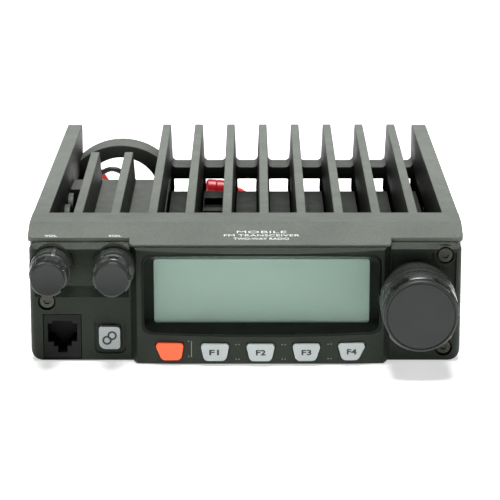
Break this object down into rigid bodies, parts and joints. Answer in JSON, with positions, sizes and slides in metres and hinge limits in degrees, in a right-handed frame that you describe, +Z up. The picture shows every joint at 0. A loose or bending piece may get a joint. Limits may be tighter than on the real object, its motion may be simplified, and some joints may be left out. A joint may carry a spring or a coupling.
{
  "type": "mobile transceiver",
  "caption": "Low flat two-way radio with a finned heat-sink case, display, keys, two small knobs, a tuning knob and a short supply lead.",
  "frame": {"origin": "middle of the base, 80 mm behind the panel's side faces", "axes": "+X to the operator's right, +Y from the control panel to the rear, +Z up"},
  "size_m": [0.16, 0.2602, 0.05],
  "materials": {
    "casting": "die-cast aluminium under matt grey-green paint",
    "cover_sheet": "black painted steel sheet",
    "black_screw": "black oxide",
    "steel": "plain steel",
    "panel_plastic": "fine-grained black plastic",
    "knob_plastic": "satin black plastic",
    "bezel_plastic": "glossy black plastic",
    "window_plastic": "clear plastic over the display",
    "lcd": "grey-green display glass",
    "white_plastic": "white plastic",
    "board": "green solder mask",
    "key_grey": "pale grey translucent key plastic",
    "key_orange": "orange key plastic",
    "black_plastic": "black plastic",
    "nickel": "nickel plate",
    "brass": "gold-coloured contact metal",
    "ceramic": "pale moulded case",
    "copper": "enamelled copper wire",
    "blue_sleeve": "printed plastic sleeve",
    "cone_paper": "black paper cone",
    "rubber_black": "black rubber",
    "wire_red": "red insulation",
    "wire_black": "black insulation",
    "ribbon": "grey flat cable"
  },
  "bodies": {
    "case": {"heatsink_chassis": "casting", "bottom_cover": "cover_sheet", "bottom_cover_screws": "black_screw", "front_panel": "panel_plastic", "panel_screws": "steel", "display_bezel": "bezel_plastic", "display_window": "window_plastic", "lcd_glass": "lcd", "lcd_backlight": "white_plastic", "lcd_frame": "white_plastic", "control_board": "board", "control_board_screws": "steel", "key_switches": "black_plastic", "volume_pot": "black_plastic", "squelch_pot": "black_plastic", "tuning_encoder": "black_plastic", "control_nuts": "steel", "mic_jack": "black_plastic", "mic_jack_contacts": "brass", "main_board": "board", "main_board_screws": "steel", "power_module": "ceramic", "power_module_screws": "steel", "shield_can": "nickel", "filter_coils": "copper", "capacitors": "blue_sleeve", "circuit_chips": "black_plastic", "ribbon_cable": "ribbon", "speaker_frame": "steel", "speaker_cone": "cone_paper", "speaker_magnet": "steel", "antenna_socket": "nickel", "antenna_insulator": "white_plastic", "antenna_contact": "brass", "antenna_socket_screws": "steel", "external_speaker_jack": "black_plastic", "dc_grommet": "rubber_black", "dc_wire_red": "wire_red", "dc_wire_black": "wire_black", "fuse_holder": "wire_red", "dc_plug": "white_plastic"},
    "volume": {"volume_knob": "knob_plastic", "volume_shaft": "steel"},
    "squelch": {"squelch_knob": "knob_plastic", "squelch_shaft": "steel"},
    "tuning": {"tuning_knob": "knob_plastic", "tuning_knob_cap": "knob_plastic", "tuning_shaft": "steel"},
    "power_key": {"power_key": "key_orange", "power_key_plunger": "white_plastic"},
    "function_key_1": {"function_key_1": "key_grey", "function_key_1_plunger": "white_plastic"},
    "function_key_2": {"function_key_2": "key_grey", "function_key_2_plunger": "white_plastic"},
    "function_key_3": {"function_key_3": "key_grey", "function_key_3_plunger": "white_plastic"},
    "function_key_4": {"function_key_4": "key_grey", "function_key_4_plunger": "white_plastic"},
    "link_key": {"link_key": "key_grey", "link_key_plunger": "white_plastic"}
  },
  "joints": [
    {"name": "volume_turn", "type": "hinge", "parent": "case", "child": "volume", "pos_m": [-0.0711, -0.08, 0.0366], "axis": [0, 1, 0], "range_deg": [-163, 137]},
    {"name": "squelch_turn", "type": "hinge", "parent": "case", "child": "squelch", "pos_m": [-0.048, -0.08, 0.0366], "axis": [0, 1, 0], "range_deg": [-119, 181]},
    {"name": "tuning_turn", "type": "hinge", "parent": "case", "child": "tuning", "pos_m": [0.063, -0.08, 0.0251], "axis": [0, 1, 0], "continuous": true},
    {"name": "power_key_press", "type": "slide", "parent": "case", "child": "power_key", "axis": [0, 1, 0], "range_m": [0, 0.0008], "stiffness_N_per_m": 1500, "springref_m": -0.0004},
    {"name": "function_key_1_press", "type": "slide", "parent": "case", "child": "function_key_1", "axis": [0, 1, 0], "range_m": [0, 0.0008], "stiffness_N_per_m": 1500, "springref_m": -0.0004},
    {"name": "function_key_2_press", "type": "slide", "parent": "case", "child": "function_key_2", "axis": [0, 1, 0], "range_m": [0, 0.0008], "stiffness_N_per_m": 1500, "springref_m": -0.0004},
    {"name": "function_key_3_press", "type": "slide", "parent": "case", "child": "function_key_3", "axis": [0, 1, 0], "range_m": [0, 0.0008], "stiffness_N_per_m": 1500, "springref_m": -0.0004},
    {"name": "function_key_4_press", "type": "slide", "parent": "case", "child": "function_key_4", "axis": [0, 1, 0], "range_m": [0, 0.0008], "stiffness_N_per_m": 1500, "springref_m": -0.0004},
    {"name": "link_key_press", "type": "slide", "parent": "case", "child": "link_key", "axis": [0, 1, 0], "range_m": [0, 0.0008], "stiffness_N_per_m": 1500, "springref_m": -0.0004}
  ]
}
